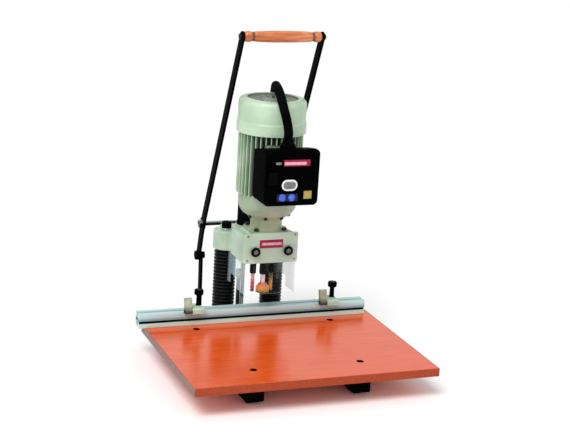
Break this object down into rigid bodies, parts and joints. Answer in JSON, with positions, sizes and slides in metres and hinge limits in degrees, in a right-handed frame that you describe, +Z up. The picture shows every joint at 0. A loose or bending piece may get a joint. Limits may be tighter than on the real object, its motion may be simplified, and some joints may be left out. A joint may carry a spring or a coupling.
{
  "type": "hinge boring machine",
  "caption": "Bench-top hinge boring machine: laminate table with fence and flip stops, vertical motor head with switch box and guard on two bellows-covered columns, fed by a U-shaped lever.",
  "frame": {"origin": "on the floor under the middle of the outline", "axes": "+Z up, +X along the fence to the right, +Y from the front of the table to the back"},
  "size_m": [0.616, 0.645, 0.817],
  "materials": {
    "laminate_board": "satin",
    "pale_green_paint": "satin",
    "grey_green_paint": "satin",
    "cream_paint": "satin",
    "black_paint": "satin",
    "black_plastic": "satin",
    "black_rubber": "matte",
    "fence_aluminium": "satin",
    "steel": "satin",
    "dark_steel": "satin",
    "wood": "satin",
    "clear_guard": "gloss",
    "motor_aluminium": "satin"
  },
  "bodies": {
    "frame": {"rail_left": "black_paint", "rail_right": "black_paint", "foot_pad_front_left": "black_rubber", "foot_pad_front_right": "black_rubber", "foot_pad_rear_left": "black_rubber", "foot_pad_rear_right": "black_rubber", "table_board": "laminate_board", "table_screw_front_left": "dark_steel", "table_screw_front_right": "dark_steel", "table_screw_rear_left": "dark_steel", "table_screw_rear_right": "dark_steel", "bed_casting": "grey_green_paint", "column_left": "steel", "column_right": "steel", "bellows_left": "black_rubber", "bellows_right": "black_rubber", "return_rod": "steel", "depth_stop_rod": "dark_steel", "fence": "fence_aluminium", "link_pin_left": "dark_steel", "link_pin_right": "dark_steel"},
    "head": {"head_casting": "grey_green_paint", "front_plate": "grey_green_paint", "guard": "clear_guard", "motor_neck": "pale_green_paint", "motor_lower_shield": "motor_aluminium", "motor_body": "motor_aluminium", "motor_upper_disc": "motor_aluminium", "fan_cowl": "pale_green_paint", "switch_box": "black_plastic", "switch_box_cover": "black_plastic", "terminal_box": "pale_green_paint", "gland_switch_box": "black_plastic", "gland_terminal_box": "black_plastic", "conduit": "black_rubber", "mains_inlet_gland": "black_plastic", "return_spring_tube": "black_paint"},
    "lever": {"lever_arm_left": "black_paint", "lever_arm_right": "black_paint", "lever_axle": "steel", "grip_rod": "dark_steel", "grip": "wood"},
    "link_left": {"link_left": "black_paint"},
    "link_right": {"link_right": "black_paint"},
    "drive": {"motor_rotor": "dark_steel", "spindle_middle": "dark_steel", "cutter": "steel"},
    "bit_left": {"spindle_left": "dark_steel"},
    "bit_right": {"spindle_right": "dark_steel"},
    "guard_knob_left": {"guard_knob_left": "black_plastic"},
    "guard_knob_right": {"guard_knob_right": "black_plastic"},
    "rocker": {"rocker_switch": "black_plastic"},
    "depth_stop_head": {"depth_stop_head": "steel"},
    "stop_left": {"stop_body_left": "cream_paint"},
    "stop_right": {"stop_body_right": "cream_paint"},
    "stop_finger_left": {"stop_finger_left": "grey_green_paint"},
    "stop_finger_right": {"stop_finger_right": "grey_green_paint"},
    "stop_knob_left": {"stop_knob_left": "black_plastic"},
    "stop_knob_right": {"stop_knob_right": "black_plastic"}
  },
  "joints": [
    {"name": "head_feed", "type": "slide", "parent": "frame", "child": "head", "axis": [0, 0, -1], "range_m": [0, 0.08], "stiffness_N_per_m": 1500, "springref_m": -0.3, "deforming": ["bellows_left", "bellows_right"]},
    {"name": "lever_swing", "type": "hinge", "parent": "head", "child": "lever", "pos_m": [0, 0.2535, 0.289], "axis": [1, 0, 0], "range_deg": [0, 57.2]},
    {"name": "link_swing_left", "type": "hinge", "parent": "frame", "child": "link_left", "pos_m": [-0.093, 0.2705, 0.036], "axis": [-1, 0, 0], "range_deg": [0, 24.36]},
    {"name": "link_swing_right", "type": "hinge", "parent": "frame", "child": "link_right", "pos_m": [0.093, 0.2705, 0.036], "axis": [-1, 0, 0], "range_deg": [0, 24.36]},
    {"name": "spindle_drive", "type": "hinge", "parent": "head", "child": "drive", "pos_m": [0, 0.0635, 0.309], "axis": [0, 0, 1], "continuous": true},
    {"name": "spindle_left_spin", "type": "hinge", "parent": "head", "child": "bit_left", "pos_m": [-0.024, 0.073, 0.269], "axis": [0, 0, 1], "continuous": true},
    {"name": "spindle_right_spin", "type": "hinge", "parent": "head", "child": "bit_right", "pos_m": [0.024, 0.073, 0.269], "axis": [0, 0, 1], "continuous": true},
    {"name": "guard_knob_left_turn", "type": "hinge", "parent": "head", "child": "guard_knob_left", "pos_m": [-0.0423, 0.0135, 0.28], "axis": [0, 1, 0], "range_deg": [-180, 180]},
    {"name": "guard_knob_right_turn", "type": "hinge", "parent": "head", "child": "guard_knob_right", "pos_m": [0.0423, 0.0135, 0.28], "axis": [0, 1, 0], "range_deg": [-180, 180]},
    {"name": "rocker_press", "type": "hinge", "parent": "head", "child": "rocker", "pos_m": [-0.045, -0.0835, 0.487], "axis": [1, 0, 0], "range_deg": [-7, 0]},
    {"name": "depth_stop_screw", "type": "slide", "parent": "frame", "child": "depth_stop_head", "axis": [0, 0, 1], "range_m": [-0.011, 0.003]},
    {"name": "stop_left_slide", "type": "slide", "parent": "frame", "child": "stop_left", "axis": [1, 0, 0], "range_m": [-0.11, 0.05]},
    {"name": "stop_right_slide", "type": "slide", "parent": "frame", "child": "stop_right", "axis": [1, 0, 0], "range_m": [-0.08, 0.07]},
    {"name": "stop_finger_left_flip", "type": "hinge", "parent": "stop_left", "child": "stop_finger_left", "pos_m": [-0.1855, 0.077, 0.117], "axis": [1, 0, 0], "range_deg": [0, 195]},
    {"name": "stop_finger_right_flip", "type": "hinge", "parent": "stop_right", "child": "stop_finger_right", "pos_m": [0.1725, 0.077, 0.117], "axis": [1, 0, 0], "range_deg": [0, 195]},
    {"name": "stop_knob_left_turn", "type": "hinge", "parent": "stop_left", "child": "stop_knob_left", "pos_m": [-0.153, 0.1005, 0.149], "axis": [0, 0, 1], "range_deg": [-180, 180]},
    {"name": "stop_knob_right_turn", "type": "hinge", "parent": "stop_right", "child": "stop_knob_right", "pos_m": [0.205, 0.1005, 0.149], "axis": [0, 0, 1], "range_deg": [-180, 180]}
  ],
  "couplings": [
    {"joint": "lever_swing", "follows": "head_feed", "rad_per_m": 12.458},
    {"joint": "link_swing_left", "follows": "head_feed", "rad_per_m": 5.2919},
    {"joint": "link_swing_right", "follows": "head_feed", "rad_per_m": 5.2919},
    {"joint": "spindle_left_spin", "follows": "spindle_drive", "ratio": -1},
    {"joint": "spindle_right_spin", "follows": "spindle_drive", "ratio": -1}
  ]
}
